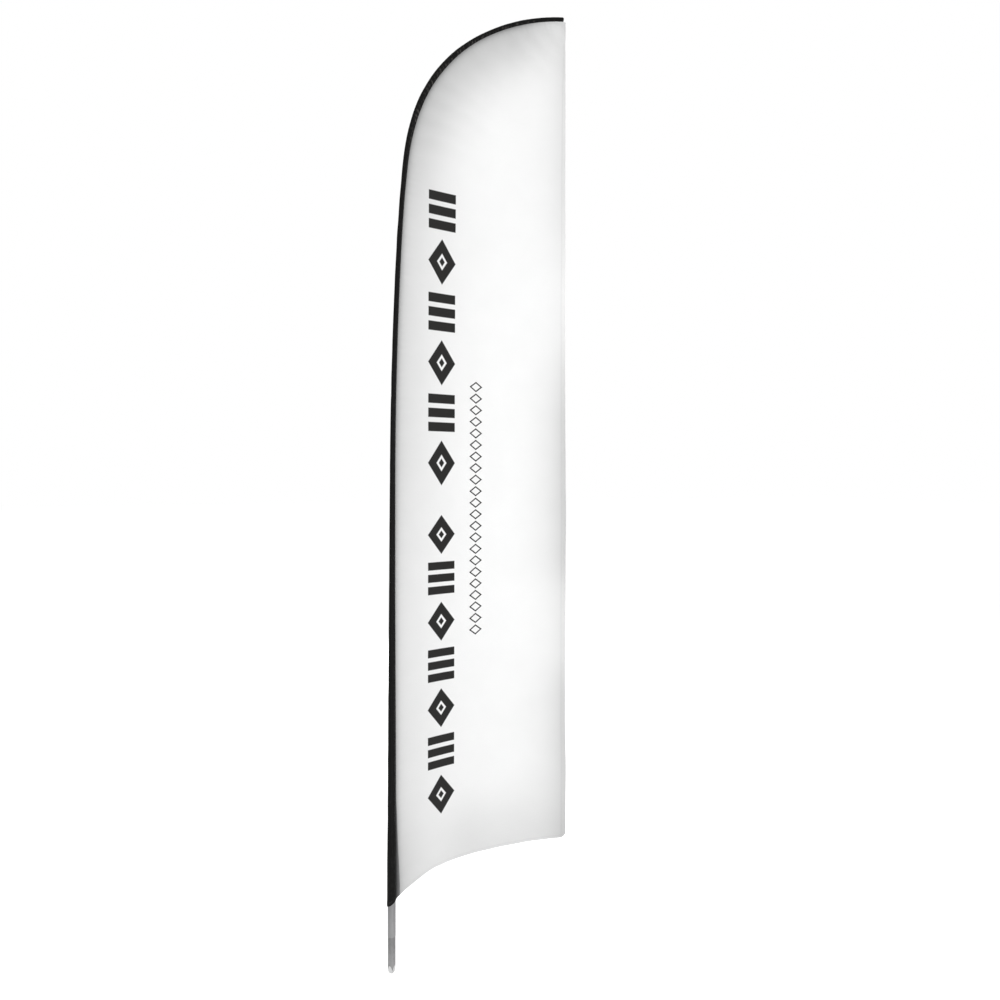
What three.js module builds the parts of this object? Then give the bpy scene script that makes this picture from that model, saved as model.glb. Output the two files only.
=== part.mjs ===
// Feather flag: a cloth panel held by a black pocket on a pole that bends over at the top.
// Millimetres. The origin is the centre of the pole's flat foot. +Z is up, +X runs from
// the pole to the flag's free edge, and the cloth bellies out towards +Y.

import * as THREE from 'three';

// Pole centre line: each bend is an arc that ends this far along the pole,
// where the pole leans this many degrees from upright.
const poleBends = [
  { end: 304, lean: 0 },
  { end: 1604, lean: 0.3 },
  { end: 2304, lean: 2.9 },
  { end: 2604, lean: 5.4 },
  { end: 2754, lean: 15.7 },
  { end: 3104, lean: 51.4 },
  { end: 3484, lean: 79.7 },
];

// Pole pieces
const footRadius = 12.3;
const footHeight = 117;
const footBevelHeight = 26;
const footEndFlat = 7; // half the width across the foot's end
const tubeRadius = 12.9;
const tubeTop = 330;
const poleEnd = 3484;
const rodEnd = 3475;
const rodRadii = [
  { along: 330, size: 11 },
  { along: 560, size: 9.6 },
  { along: 1200, size: 7.6 },
  { along: 1600, size: 6.2 },
  { along: 3484, size: 4.5 },
];
const gap = 0.3; // between neighbouring pieces
const socketRoom = 4; // the pocket stays wide this far past the tube's top

// Pole pocket
const mouth = 226; // where the mouth crosses the pole's centre line
const mouthSlope = 0.66; // rise of the slanted mouth towards the panel
const pocketWall = 1;
const pocketHalfWidths = [
  { along: 226, size: 14.5 },
  { along: 340, size: 14.5 },
  { along: 560, size: 12 },
  { along: 1200, size: 9.8 },
  { along: 1600, size: 8.5 },
  { along: 3484, size: 7.7 },
];
const flangeWidths = [
  { along: 280, size: 12 },
  { along: 400, size: 7 },
  { along: 560, size: 3 },
  { along: 1200, size: 1.6 },
  { along: 3484, size: 1.6 },
];
const flangeThickness = 2.2;
const cavityEnd = 3478;
const tipRings = [
  { beyond: 2, shrink: 0.84 },
  { beyond: 3.6, shrink: 0.5 },
];

// Cloth panel
const clothThickness = 1.3; // measured along Y
const freeEdge = 616;
const hemLeft = 243.5;
const hemPoints = [ // the bottom hem's Bezier curve: out from the pole side, then height
  [0, hemLeft],
  [155, 332],
  [300, 253],
  [590, 332],
];
const panelTopRight = 3184;
const cornerRadius = 18;
const bellyDepth = 78;
const bellyFade = 0.22; // how much shallower the belly is at the top
const bellySkew = 1.35; // moves the deepest line away from the pole
const topTension = 6; // the higher it is, the nearer to the top the cloth pulls flat
const flutterDepth = 15;
const flutterFade = 0.7;
const flutterLength = 1120;
const flutterPeak = 450; // height of the lowest bend of the free edge towards the front
const flutterFrom = 0.55; // share of the width that the free edge's waves leave still
const flutterPull = 0.36; // how far a wave draws the free edge in, for each mm it moves

// Facets
const ringSides = 20;
const flangeEdgeAngle = 6;
const flangeRootAngle = 17;
const roundAngle = 32; // where the round part of the pocket's section begins
const roundSides = ringSides - 5;
const roundStep = (360 - 2 * roundAngle) / roundSides;
const footBevelSteps = 8;
const rodSides = 16;
const tubeSides = 48;
const panelColumns = 18;
const cornerColumns = [0.974, 0.982, 0.991, 1]; // closer together round the free corner
const wideStep = 130;
const middleStart = 2304;
const middleStep = 75;
const fineStart = 2604;
const fineStep = 32;

function sizeAt(stops, along) {
  const next = stops.findIndex((stop) => stop.along >= along);
  if (next < 0) return stops[stops.length - 1].size;
  if (next === 0) return stops[0].size;
  const low = stops[next - 1];
  const high = stops[next];
  return THREE.MathUtils.mapLinear(along, low.along, high.along, low.size, high.size);
}

// A point on the pole's centre line, with the pole's lean there in radians.
function poleAt(along) {
  const place = { x: 0, z: 0, lean: 0 };
  let start = 0;
  let leanBefore = 0;
  for (const bend of poleBends) {
    const last = bend === poleBends[poleBends.length - 1];
    const stop = last ? along : Math.min(along, bend.end);
    const stretch = stop - start;
    const leanAfter = THREE.MathUtils.degToRad(bend.lean);
    const turn = (leanAfter - leanBefore) * stretch / (bend.end - start);
    const chord = Math.abs(turn) < 1e-9 ? stretch : 2 * stretch / turn * Math.sin(turn / 2);
    place.x += chord * Math.sin(leanBefore + turn / 2);
    place.z += chord * Math.cos(leanBefore + turn / 2);
    place.lean = leanBefore + turn;
    if (along <= bend.end) break;
    start = bend.end;
    leanBefore = leanAfter;
  }
  return place;
}

// A point beside the pole: towards is measured from the centre line to the panel's side,
// and across is measured along +Y.
function besidePole(along, towards, across) {
  const pole = poleAt(along);
  return [
    pole.x + towards * Math.cos(pole.lean),
    across,
    pole.z - towards * Math.sin(pole.lean),
  ];
}

// Where the rings of the pocket, the rod and the panel's pole side lie.
function stations() {
  const list = [280, tubeTop + socketRoom, 400, 470, 560];
  for (let at = 560 + wideStep; at < middleStart; at += wideStep) list.push(at);
  for (let at = middleStart; at < fineStart; at += middleStep) list.push(at);
  for (let at = fineStart; at < rodEnd; at += fineStep) list.push(at);
  return list;
}

function meshFrom(points, triangles) {
  const geometry = new THREE.BufferGeometry();
  geometry.setAttribute('position', new THREE.Float32BufferAttribute(points.flat(), 3));
  geometry.setIndex(triangles.flat());
  geometry.computeVertexNormals();
  return geometry;
}

// Triangles that close a ring. A thin ring, such as a row of cloth, is closed by a strip
// between its two long sides, and any other by a fan round its centre.
function stripCap(first, sides) {
  const triangles = [];
  for (let near = 0; near < sides / 2 - 1; near += 1) {
    const a = first + near;
    const b = first + sides - 1 - near;
    triangles.push([a, a + 1, b - 1], [a, b - 1, b]);
  }
  return triangles;
}

function fanCap(first, sides, centre) {
  const triangles = [];
  for (let side = 0; side < sides; side += 1) {
    triangles.push([centre, first + side, first + (side + 1) % sides]);
  }
  return triangles;
}

function centreOf(ring) {
  return [0, 1, 2].map((axis) => ring.reduce((sum, point) => sum + point[axis], 0) / ring.length);
}

// A closed body through rings with the same number of points. Each ring runs anticlockwise,
// seen from the next ring back towards it.
function loft(rings, thin = false) {
  const sides = rings[0].length;
  const last = (rings.length - 1) * sides;
  const points = rings.flat();
  const triangles = [];
  for (let ring = 0; ring < last; ring += sides) {
    for (let side = 0; side < sides; side += 1) {
      const a = ring + side;
      const b = ring + (side + 1) % sides;
      triangles.push([a, b, b + sides], [a, b + sides, a + sides]);
    }
  }
  if (!thin) points.push(centreOf(rings[0]), centreOf(rings[rings.length - 1]));
  const bottom = thin ? stripCap(0, sides) : fanCap(0, sides, points.length - 2);
  const top = thin ? stripCap(last, sides) : fanCap(last, sides, points.length - 1);
  triangles.push(...bottom.map((corners) => [...corners].reverse()), ...top);
  return meshFrom(points, triangles);
}

// Foot: a round section whose end has four bevels, at 45 degrees to the flag.
function footRing(height, across) {
  const ring = [];
  for (let side = 0; side < tubeSides; side += 1) {
    const angle = 2 * Math.PI * side / tubeSides;
    const quarter = Math.PI / 2;
    const offBevel = angle - quarter * Math.floor(angle / quarter) - quarter / 2;
    const radius = Math.min(footRadius, across / Math.cos(offBevel));
    ring.push([radius * Math.cos(angle), radius * Math.sin(angle), height]);
  }
  return ring;
}

function footGeometry() {
  const rings = [];
  for (let step = 0; step <= footBevelSteps; step += 1) {
    const share = step / footBevelSteps;
    const across = THREE.MathUtils.lerp(footEndFlat, footRadius, share);
    rings.push(footRing(footBevelHeight * share, across));
  }
  rings.push(footRing(footHeight - gap, footRadius));
  return loft(rings);
}

function tubeGeometry() {
  const length = tubeTop - gap - footHeight;
  const geometry = new THREE.CylinderGeometry(tubeRadius, tubeRadius, length, tubeSides);
  geometry.rotateX(Math.PI / 2);
  geometry.translate(0, 0, footHeight + length / 2);
  return geometry;
}

function rodGeometry() {
  const places = [tubeTop, ...stations().filter((at) => at > tubeTop), rodEnd];
  const rings = places.map((along) => {
    const radius = sizeAt(rodRadii, along);
    const ring = [];
    for (let side = 0; side < rodSides; side += 1) {
      const angle = 2 * Math.PI * side / rodSides;
      ring.push(besidePole(along, radius * Math.cos(angle), radius * Math.sin(angle)));
    }
    return ring;
  });
  return loft(rings);
}

// Pocket: the cavity follows the pole, and the flange is the flat sewn edge at the panel.
function poleRadiusAt(along) {
  return along <= tubeTop + socketRoom ? tubeRadius : sizeAt(rodRadii, along);
}

function pocketAngles() {
  const angles = [-flangeEdgeAngle, flangeEdgeAngle, flangeRootAngle];
  for (let side = 0; side <= roundSides; side += 1) angles.push(roundAngle + roundStep * side);
  angles.push(360 - flangeRootAngle);
  return angles.map((angle) => THREE.MathUtils.degToRad(angle));
}

function pocketRing(along, inside, shrink) {
  const roundness = Math.cos(THREE.MathUtils.degToRad(roundStep / 2));
  const cavityAcross = (poleRadiusAt(along) + gap) / roundness;
  const halfWidth = sizeAt(pocketHalfWidths, along);
  const halfAcross = inside ? cavityAcross : cavityAcross + pocketWall;
  const halfTowards = inside ? halfWidth - pocketWall : halfWidth;
  const flange = inside ? 0 : sizeAt(flangeWidths, along);
  return pocketAngles().map((angle, index) => {
    let towards = halfTowards * Math.cos(angle);
    let across = halfAcross * Math.sin(angle);
    if (!inside && index < 2) {
      towards = halfWidth + flange;
      across = Math.sign(angle) * flangeThickness / 2;
    }
    return { towards: towards * shrink, across: across * shrink };
  });
}

function placeRing(ring, along) {
  return ring.map((point) => besidePole(along, point.towards, point.across));
}

function slantMouth(ring) {
  return ring.map(([x, y, z]) => [x, y, z + mouthSlope * x]);
}

function pocketGeometry() {
  const between = stations();
  const rings = [placeRing(pocketRing(cavityEnd, true, 1), cavityEnd)];
  for (const along of [...between].reverse()) {
    rings.push(placeRing(pocketRing(along, true, 1), along));
  }
  rings.push(slantMouth(placeRing(pocketRing(mouth, true, 1), mouth)));
  rings.push(slantMouth(placeRing(pocketRing(mouth, false, 1), mouth)));
  for (const along of [...between, poleEnd]) {
    rings.push(placeRing(pocketRing(along, false, 1), along));
  }
  for (const tip of tipRings) {
    rings.push(placeRing(pocketRing(poleEnd, false, tip.shrink), poleEnd + tip.beyond));
  }
  return loft(rings);
}

// Panel: rows run from the pole side to the free edge, and columns run from hem to top.
function hemCurve() {
  return new THREE.CubicBezierCurve(...hemPoints.map(([x, y]) => new THREE.Vector2(x, y)));
}

// The cloth's belly, deepest past the middle of the width and flat at the curved top.
function bellyAt(share, rise) {
  const deepest = bellySkew / (bellySkew + 1);
  const fullest = deepest ** bellySkew * (1 - deepest);
  const across = share ** bellySkew * (1 - share) / fullest;
  return bellyDepth * (1 - bellyFade * rise) * (1 - rise ** topTension) * across;
}

// The slow waves of the free edge, which fade towards the top.
function flutterAt(share, rise, height) {
  const loose = Math.max(0, (share - flutterFrom) / (1 - flutterFrom)) ** 2;
  const wave = Math.cos(2 * Math.PI * (height - flutterPeak) / flutterLength);
  return -flutterDepth * (1 - flutterFade * rise) * (1 - rise ** topTension) * loose * wave;
}

function panelSide(along) {
  const side = sizeAt(pocketHalfWidths, along) + sizeAt(flangeWidths, along) + gap;
  return besidePole(along, side, 0);
}

function panelPoint(column, along) {
  const curve = hemCurve();
  const onHem = curve.getPoint(column);
  const share = onHem.x / curve.v3.x;
  const [sideX, , sideZ] = panelSide(along);
  const topLeft = panelSide(poleEnd)[2];
  const rise = (sideZ - hemLeft) / (topLeft - hemLeft);
  const x = THREE.MathUtils.lerp(sideX, freeEdge, share);
  const top = THREE.MathUtils.lerp(topLeft, panelTopRight, share);
  let height = THREE.MathUtils.lerp(onHem.y, top, rise);
  const intoCorner = x - (freeEdge - cornerRadius);
  if (rise <= 0 && intoCorner > 0) {
    height += cornerRadius - Math.sqrt(Math.max(0, cornerRadius ** 2 - intoCorner ** 2));
  }
  const flutter = flutterAt(share, rise, height);
  return [x + flutterPull * flutter, bellyAt(share, rise) + flutter, height];
}

function panelGeometry() {
  const columns = [];
  for (let column = 0; column < panelColumns; column += 1) columns.push(column / panelColumns);
  columns.push(...cornerColumns);
  const rows = [hemLeft, ...stations(), poleEnd].map((along) => {
    const middle = columns.map((column) => panelPoint(column, along));
    const shifted = (by) => middle.map(([x, y, z]) => [x, y + by, z]);
    return [...shifted(-clothThickness / 2), ...shifted(clothThickness / 2).reverse()];
  });
  return loft(rows, true);
}

function piece(name, geometry, color, roughness, metalness) {
  const material = new THREE.MeshStandardMaterial({ color, roughness, metalness });
  const mesh = new THREE.Mesh(geometry, material);
  mesh.name = name;
  return mesh;
}

const group = new THREE.Group();
group.add(
  piece('panel', panelGeometry(), 0xf3f3f2, 0.85, 0),
  piece('pole_pocket', pocketGeometry(), 0x1d1c1b, 0.8, 0),
  piece('top_rod', rodGeometry(), 0x2a2a2b, 0.5, 0),
  piece('lower_tube', tubeGeometry(), 0x929293, 0.4, 0.9),
  piece('foot_tube', footGeometry(), 0x8e8e8f, 0.45, 0.9),
);

export default group;
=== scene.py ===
import math
import random

import bpy
import numpy as np
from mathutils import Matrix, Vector


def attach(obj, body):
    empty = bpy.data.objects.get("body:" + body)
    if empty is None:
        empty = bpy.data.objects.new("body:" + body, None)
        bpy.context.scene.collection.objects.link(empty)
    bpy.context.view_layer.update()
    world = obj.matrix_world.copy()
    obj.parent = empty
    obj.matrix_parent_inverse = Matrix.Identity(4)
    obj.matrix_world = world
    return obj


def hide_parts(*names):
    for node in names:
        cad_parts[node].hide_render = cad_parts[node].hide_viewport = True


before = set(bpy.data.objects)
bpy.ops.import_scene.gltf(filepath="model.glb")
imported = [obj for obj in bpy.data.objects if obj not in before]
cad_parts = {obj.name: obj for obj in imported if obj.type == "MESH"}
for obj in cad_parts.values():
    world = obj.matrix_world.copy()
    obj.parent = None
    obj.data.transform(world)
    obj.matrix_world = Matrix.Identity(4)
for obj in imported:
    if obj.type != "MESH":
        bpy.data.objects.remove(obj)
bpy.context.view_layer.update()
print("frame loaded")

# Metres. X runs from the pole to the free edge, Y to the back, Z up from the pole's foot.

pole = {
    # how far along the pole each bend ends, and how many degrees the pole leans there
    "bends": [
        (0.304, 0), (1.604, 0.3), (2.304, 2.9), (2.604, 5.4), (2.754, 15.7), (3.104, 51.4), (3.484, 79.7),
    ],
    "end": 3.484,
    "cavityEnd": 3.478,
    "tubeRadius": 0.0129,
    "socketTop": 0.334,  # the pocket is wide up to here, to clear the tube
    "rodRadii": [(0.33, 0.011), (0.56, 0.0096), (1.2, 0.0076), (1.6, 0.0062), (3.484, 0.0045)],
    "clearance": 0.0003,
    "tableEnd": 3.5,
    "tableSteps": 3501,  # how many points of the line are worked out once and then looked up
}


def poleAt(along):
    x = z = start = leanBefore = 0.0
    for end, degrees in pole["bends"]:
        last = end == pole["bends"][-1][0]
        stretch = along - start if last else min(along, end) - start
        turn = (math.radians(degrees) - leanBefore) * stretch / (end - start)
        chord = stretch if abs(turn) < 1e-9 else 2 * stretch / turn * math.sin(turn / 2)
        x += chord * math.sin(leanBefore + turn / 2)
        z += chord * math.cos(leanBefore + turn / 2)
        if along <= end or last:
            return x, z, leanBefore + turn
        start, leanBefore = end, math.radians(degrees)


poleSteps = np.linspace(0, pole["tableEnd"], pole["tableSteps"])
poleTable = np.array([poleAt(step) for step in poleSteps]).T


def besidePole(along, towards):
    x, z, lean = (np.interp(along, poleSteps, row) for row in poleTable)
    return x + towards * np.cos(lean), z - towards * np.sin(lean)


def sizeAt(stops, along):
    return np.interp(along, [stop[0] for stop in stops], [stop[1] for stop in stops])


def softNoise(u, v, seed, size, waves=9):
    dice = random.Random(seed)
    total = np.zeros(np.broadcast(u, v).shape)
    for _ in range(waves):
        turn, phase = dice.uniform(0, math.tau), dice.uniform(0, math.tau)
        length = size * dice.uniform(0.6, 1.6)
        total = total + np.sin(math.tau * (u * math.cos(turn) + v * math.sin(turn)) / length + phase)
    return total / math.sqrt(waves)


def smoothStep(value, low, high):
    t = np.clip((value - low) / (high - low), 0, 1)
    return t * t * (3 - 2 * t)


def makeMesh(name, points, faces, material, uv=None, **tones):
    # each of tones is one number a point, which the material reads by its name
    mesh = bpy.data.meshes.new(name)
    mesh.from_pydata(np.asarray(points, float).tolist(), [], faces)
    mesh.materials.append(material)
    corners = np.zeros(len(mesh.loops), np.int32)
    mesh.loops.foreach_get("vertex_index", corners)
    if uv is not None:
        layer = mesh.uv_layers.new(name="cutCloth")
        layer.data.foreach_set("uv", np.asarray(uv, np.float32)[corners].ravel())
    for label, values in tones.items():
        layer = mesh.attributes.new(label, "FLOAT", "POINT")
        layer.data.foreach_set("value", np.asarray(values, np.float32))
    mesh.polygons.foreach_set("use_smooth", np.ones(len(mesh.polygons), bool))
    mesh.update()
    mesh.validate()
    piece = bpy.data.objects.new(name, mesh)
    bpy.context.scene.collection.objects.link(piece)
    return piece


def feed(tree, socket, value):
    # value is a fixed setting or the output of another node
    if isinstance(value, bpy.types.NodeSocket):
        tree.links.new(value, socket)
    else:
        socket.default_value = value


def addNode(tree, kind, settings=None, **inputs):
    node = tree.nodes.new(kind)
    for key, value in (settings or {}).items():
        setattr(node, key, value)
    for key, value in inputs.items():
        feed(tree, node.inputs[key], value)
    return node


def calc(tree, operation, *values):
    node = addNode(tree, "ShaderNodeMath", {"operation": operation})
    for socket, value in zip(node.inputs, values):
        feed(tree, socket, value)
    return node.outputs[0]


def ramp(tree, value, low, high, toLow=0.0, toHigh=1.0):
    node = addNode(tree, "ShaderNodeMapRange", {"interpolation_type": "SMOOTHSTEP"})
    for index, given in enumerate((value, low, high, toLow, toHigh)):
        feed(tree, node.inputs[index], given)
    return node.outputs[0]


def blendColours(tree, share, first, second):
    node = addNode(tree, "ShaderNodeMix", {"data_type": "RGBA"})
    for index, given in ((0, share), (6, first), (7, second)):
        feed(tree, node.inputs[index], given)
    return node.outputs[2]


def tint(tree, colour, shade):
    node = addNode(tree, "ShaderNodeMix", {"data_type": "RGBA", "blend_type": "MULTIPLY"})
    for index, given in ((0, 1), (6, colour), (7, shade)):
        feed(tree, node.inputs[index], given)
    return node.outputs[2]


def noiseNode(tree, place, scale, detail, roughness=0.5):
    node = addNode(tree, "ShaderNodeTexNoise", None, Vector=place, Scale=scale, Detail=detail,
                   Roughness=roughness)
    return node.outputs["Fac"]


def newGroup(name, inputs, outputs):
    tree = bpy.data.node_groups.new(name, "ShaderNodeTree")
    for label, kind, value in inputs:
        socket = tree.interface.new_socket(name=label, in_out="INPUT", socket_type="NodeSocket" + kind)
        if value is not None:
            socket.default_value = value
    for label, kind in outputs:
        tree.interface.new_socket(name=label, in_out="OUTPUT", socket_type="NodeSocket" + kind)
    return tree, tree.nodes.new("NodeGroupInput"), tree.nodes.new("NodeGroupOutput")


def useGroup(tree, group, **inputs):
    return addNode(tree, "ShaderNodeGroup", {"node_tree": group}, **inputs)


def newMaterial(name, metallic=0.0, sheen=0.0, sheenRoughness=0.5, specular=0.5):
    material = bpy.data.materials.new(name)
    material.use_nodes = True
    shader = material.node_tree.nodes["Principled BSDF"]
    shader.inputs["Metallic"].default_value = metallic
    shader.inputs["Sheen Weight"].default_value = sheen
    shader.inputs["Sheen Roughness"].default_value = sheenRoughness
    shader.inputs["Specular IOR Level"].default_value = specular
    return material, material.node_tree, shader


def bumpInto(tree, shader, height, strength, distance):
    bump = addNode(tree, "ShaderNodeBump", None, Height=height, Strength=strength, Distance=distance)
    tree.links.new(bump.outputs["Normal"], shader.inputs["Normal"])


knitLook = {
    "courseRatio": 0.74,  # how closely the courses follow each other, to the wales
    "zigzag": 1.3,
    "walesPerRib": 6,
    "slubScale": 260,
    "mottleScale": 9,
    "mottleDepth": 0.05,
}


def buildKnit():
    # warp knit: rows of tiny loops at Pitch, with thicker yarn here and there
    tree, given, result = newGroup(
        "knit",
        [
            ("Place", "Vector", None),
            ("Pitch", "Float", 0.0006),
            ("Rib", "Float", 0.3),
            ("Depth", "Float", 0.05),
        ],
        [("Height", "Float"), ("Shade", "Float")],
    )
    place = addNode(tree, "ShaderNodeSeparateXYZ", None, Vector=given.outputs["Place"])
    turns = calc(tree, "DIVIDE", math.tau, given.outputs["Pitch"])
    acrossTurns = calc(tree, "MULTIPLY", place.outputs[0], turns)
    alongTurns = calc(tree, "MULTIPLY", place.outputs[1], turns)
    alongTurns = calc(tree, "MULTIPLY", alongTurns, knitLook["courseRatio"])
    wales = calc(tree, "SINE", acrossTurns)
    swing = calc(tree, "MULTIPLY", wales, knitLook["zigzag"])
    zigzag = calc(tree, "SINE", calc(tree, "ADD", alongTurns, swing))
    loops = calc(tree, "MULTIPLY", calc(tree, "ADD", wales, zigzag), 0.5)
    ribs = calc(tree, "SINE", calc(tree, "DIVIDE", acrossTurns, knitLook["walesPerRib"]))
    ribs = calc(tree, "MULTIPLY", ribs, given.outputs["Rib"])
    slub = noiseNode(tree, given.outputs["Place"], knitLook["slubScale"], 2)
    slubHeight = calc(tree, "SUBTRACT", slub, 0.5)
    height = calc(tree, "ADD", calc(tree, "ADD", loops, ribs), slubHeight)
    tree.links.new(height, result.inputs["Height"])
    mottle = noiseNode(tree, given.outputs["Place"], knitLook["mottleScale"], 4)
    slow = calc(tree, "MULTIPLY", calc(tree, "SUBTRACT", mottle, 0.5), knitLook["mottleDepth"])
    fine = calc(tree, "MULTIPLY", calc(tree, "ADD", loops, slubHeight), given.outputs["Depth"])
    shade = calc(tree, "ADD", calc(tree, "ADD", 1.0, slow), fine)
    tree.links.new(shade, result.inputs["Shade"])
    return tree


def buildDust():
    # dull marks that gather low on a piece, by height
    tree, given, result = newGroup(
        "dust",
        [("Place", "Vector", None), ("Top", "Float", 0.3), ("Amount", "Float", 0.3)],
        [("Mask", "Float")],
    )
    place = addNode(tree, "ShaderNodeSeparateXYZ", None, Vector=given.outputs["Place"])
    low = ramp(tree, place.outputs[2], 0.0, given.outputs["Top"], 1.0, 0.0)
    patch = ramp(tree, noiseNode(tree, given.outputs["Place"], 70, 6, 0.7), 0.45, 0.7)
    mask = calc(tree, "MULTIPLY", calc(tree, "MULTIPLY", low, patch), given.outputs["Amount"])
    tree.links.new(mask, result.inputs["Mask"])
    return tree


drawnLook = {
    "lineStretch": 0.012,  # how much slower the lines change up the tube than round it
    "lineDepth": 0.28,
    "rubStretch": 9,  # and how much faster the scratches do
    "rubScale": 60,
    "rubPales": 0.22,
    "smoothest": 0.34,
    "lineRoughness": 0.16,
    "rubSmooths": 0.08,
}


def scaledPlace(tree, place, upward):
    node = addNode(tree, "ShaderNodeVectorMath", {"operation": "MULTIPLY"})
    tree.links.new(place, node.inputs[0])
    node.inputs[1].default_value = (1, 1, upward)
    return node.outputs[0]


def buildDrawnMetal():
    # long fine lines that drawing leaves along a tube, and a few short scratches round it
    tree, given, result = newGroup(
        "drawnMetal",
        [("Place", "Vector", None), ("Lines", "Float", 900.0)],
        [("Height", "Float"), ("Shade", "Float"), ("Roughness", "Float")],
    )
    stretched = scaledPlace(tree, given.outputs["Place"], drawnLook["lineStretch"])
    lines = noiseNode(tree, stretched, given.outputs["Lines"], 3)
    squeezed = scaledPlace(tree, given.outputs["Place"], drawnLook["rubStretch"])
    rubMask = ramp(tree, noiseNode(tree, squeezed, drawnLook["rubScale"], 5, 0.75), 0.62, 0.72)
    tree.links.new(lines, result.inputs["Height"])
    lineShade = calc(tree, "MULTIPLY", calc(tree, "SUBTRACT", lines, 0.5), drawnLook["lineDepth"])
    rubShade = calc(tree, "MULTIPLY", rubMask, drawnLook["rubPales"])
    shade = calc(tree, "ADD", calc(tree, "ADD", 1.0, lineShade), rubShade)
    tree.links.new(shade, result.inputs["Shade"])
    lineRough = calc(tree, "MULTIPLY", lines, drawnLook["lineRoughness"])
    rough = calc(tree, "ADD", drawnLook["smoothest"], lineRough)
    rough = calc(tree, "SUBTRACT", rough, calc(tree, "MULTIPLY", rubMask, drawnLook["rubSmooths"]))
    tree.links.new(rough, result.inputs["Roughness"])
    return tree


knit = buildKnit()
dust = buildDust()
drawnMetal = buildDrawnMetal()
print("shared effects built")


# the panel's cloth and its print: lozenges and bars in one bold line, and a fine line of small lozenges
printed = {
    "boldMiddle": 0.178,
    "boldHalf": 0.05,
    "boldRuns": [(0.453, 1.475, 7), (1.558, 2.563, 6)],  # each run's bottom, top and number of marks
    "fineMiddle": 0.3065,
    "fineHalf": 0.024,
    "fineRun": (1.048, 1.924, 22),
    "boldOpening": (0.37, 0.2),  # how far out a lozenge is open, and how far its dot reaches
    "fineOpening": (0.7, -1.0),  # below 0 is no dot
    "markHeight": 0.9,  # of each mark's own stretch of the run
    "barsHeight": 0.84,
    "barsEach": 3,
    "barShare": 0.66,
    "edge": 0.03,
    "ink": (0.0105, 0.0098, 0.0092, 1),
    "inkSmooths": 0.12,
    "showThrough": 0.92,
    "cloth": (0.955, 0.957, 0.955, 1),
    "clothRoughness": 0.86,
    "shine": {"sheen": 0.12, "sheenRoughness": 0.6, "specular": 0.25},
    "weave": {"Pitch": 0.0012, "Rib": 0.25, "Depth": 0.045},
}


def buildMarks():
    # lozenges with an open middle, in turn with sets of bars when Bars is 1
    labels = ("X", "Z", "Middle", "Half", "Bottom", "Top", "Count", "Bars", "Open", "Dot")
    tree, given, result = newGroup(
        "marks",
        [(label, "Float", 0.0) for label in labels],
        [("Mask", "Float")],
    )
    out = given.outputs
    fromMiddle = calc(tree, "SUBTRACT", out["X"], out["Middle"])
    side = calc(tree, "ABSOLUTE", calc(tree, "DIVIDE", fromMiddle, out["Half"]))
    run = calc(tree, "DIVIDE", calc(tree, "SUBTRACT", out["Z"], out["Bottom"]),
               calc(tree, "SUBTRACT", out["Top"], out["Bottom"]))
    cell = calc(tree, "MULTIPLY", run, out["Count"])
    inCell = calc(tree, "SUBTRACT", calc(tree, "MULTIPLY", calc(tree, "FRACT", cell), 2), 1)
    rise = calc(tree, "DIVIDE", calc(tree, "ABSOLUTE", inCell), printed["markHeight"])
    ring = calc(tree, "ADD", side, rise)
    edge = printed["edge"]
    lozenge = ramp(tree, ring, 1 - edge, 1 + edge, 1, 0)
    opening = ramp(tree, calc(tree, "SUBTRACT", ring, out["Open"]), -edge, edge, 1, 0)
    dot = ramp(tree, calc(tree, "SUBTRACT", ring, out["Dot"]), -edge, edge, 1, 0)
    openLozenge = calc(tree, "ADD", calc(tree, "SUBTRACT", lozenge, opening), dot)
    tall, half = printed["barsHeight"], printed["barShare"] / 2
    barTurns = calc(tree, "MULTIPLY", calc(tree, "ADD", inCell, tall), printed["barsEach"] / (2 * tall))
    stripe = calc(tree, "ABSOLUTE", calc(tree, "SUBTRACT", calc(tree, "FRACT", barTurns), 0.5))
    bars = ramp(tree, stripe, half - edge, half + edge, 1, 0)
    inside = ramp(tree, calc(tree, "ABSOLUTE", inCell), tall, tall + 0.01, 1, 0)
    wide = ramp(tree, side, 1 - edge, 1, 1, 0)
    bars = calc(tree, "MULTIPLY", calc(tree, "MULTIPLY", bars, inside), wide)
    odd = calc(tree, "MODULO", calc(tree, "FLOOR", cell), 2)
    pick = calc(tree, "MULTIPLY", odd, out["Bars"])
    shape = calc(tree, "ADD", calc(tree, "MULTIPLY", openLozenge, calc(tree, "SUBTRACT", 1.0, pick)),
                 calc(tree, "MULTIPLY", bars, pick))
    within = calc(tree, "MULTIPLY", calc(tree, "GREATER_THAN", run, 0.0), calc(tree, "LESS_THAN", run, 1.0))
    tree.links.new(calc(tree, "MULTIPLY", shape, within), result.inputs["Mask"])
    return tree


marks = buildMarks()


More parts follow.
